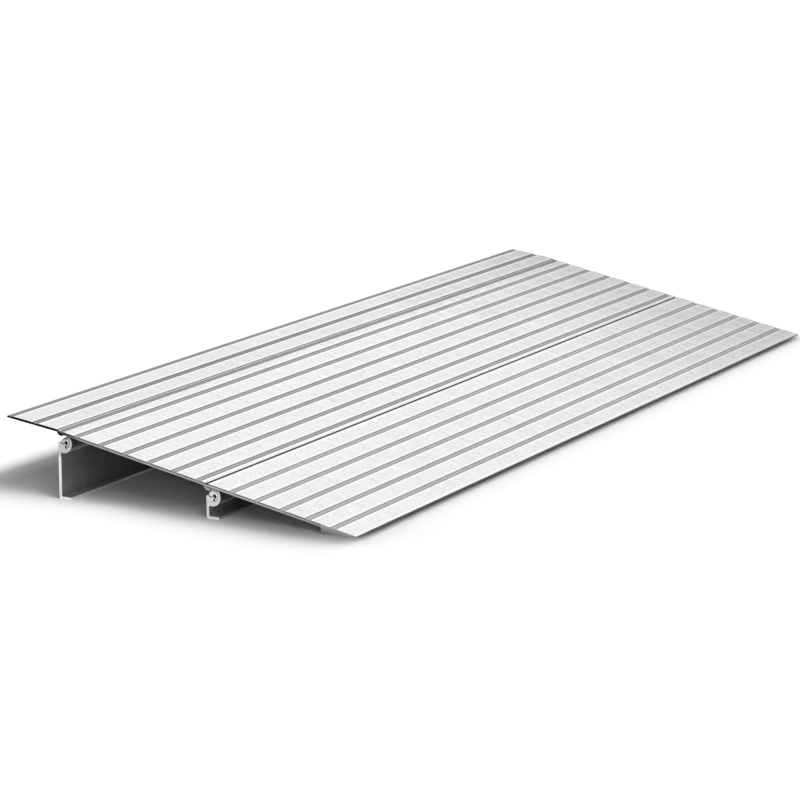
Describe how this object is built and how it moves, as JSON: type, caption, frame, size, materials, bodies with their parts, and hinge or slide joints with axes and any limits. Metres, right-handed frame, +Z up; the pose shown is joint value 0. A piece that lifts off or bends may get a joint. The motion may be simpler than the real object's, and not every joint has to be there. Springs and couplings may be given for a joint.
{
  "type": "threshold ramp",
  "caption": "Low aluminium threshold ramp: ribbed panels that hook into one another, a hinged transition plate at the top and standing legs that hook in under the joints.",
  "frame": {"origin": "on the floor, under the middle of the ramp's box", "axes": "+X across the ramp, +Y up the slope from the toe to the door, +Z up"},
  "size_m": [0.914, 0.317, 0.0625],
  "materials": {
    "panel_aluminium": "mill-finished extrusion with finely brushed lands and duller grooves",
    "plate_aluminium": "mill-finished extrusion with finely brushed lands and duller grooves",
    "leg_aluminium": "mill-finished extrusion with sawn ends"
  },
  "bodies": {
    "lower_panel": {"lower_panel": "panel_aluminium"},
    "upper_panel": {"upper_panel": "panel_aluminium"},
    "transition_plate": {"transition_plate": "plate_aluminium"},
    "lower_leg": {"lower_leg": "leg_aluminium"},
    "upper_leg": {"upper_leg": "leg_aluminium"}
  },
  "joints": [
    {"name": "panel_hinge", "type": "hinge", "parent": "lower_panel", "child": "upper_panel", "pos_m": [0, -0.02891, 0.02758], "axis": [1, 0, 0], "range_deg": [-3, 20]},
    {"name": "transition_plate_hinge", "type": "hinge", "parent": "upper_panel", "child": "transition_plate", "pos_m": [0, 0.10735, 0.05505], "axis": [1, 0, 0], "range_deg": [0, 25]},
    {"name": "lower_leg_swing", "type": "hinge", "parent": "lower_panel", "child": "lower_leg", "pos_m": [0, -0.03066, 0.01968], "axis": [1, 0, 0], "range_deg": [0, 20]},
    {"name": "upper_leg_swing", "type": "hinge", "parent": "upper_panel", "child": "upper_leg", "pos_m": [0, 0.1056, 0.04715], "axis": [1, 0, 0], "range_deg": [0, 20]}
  ]
}
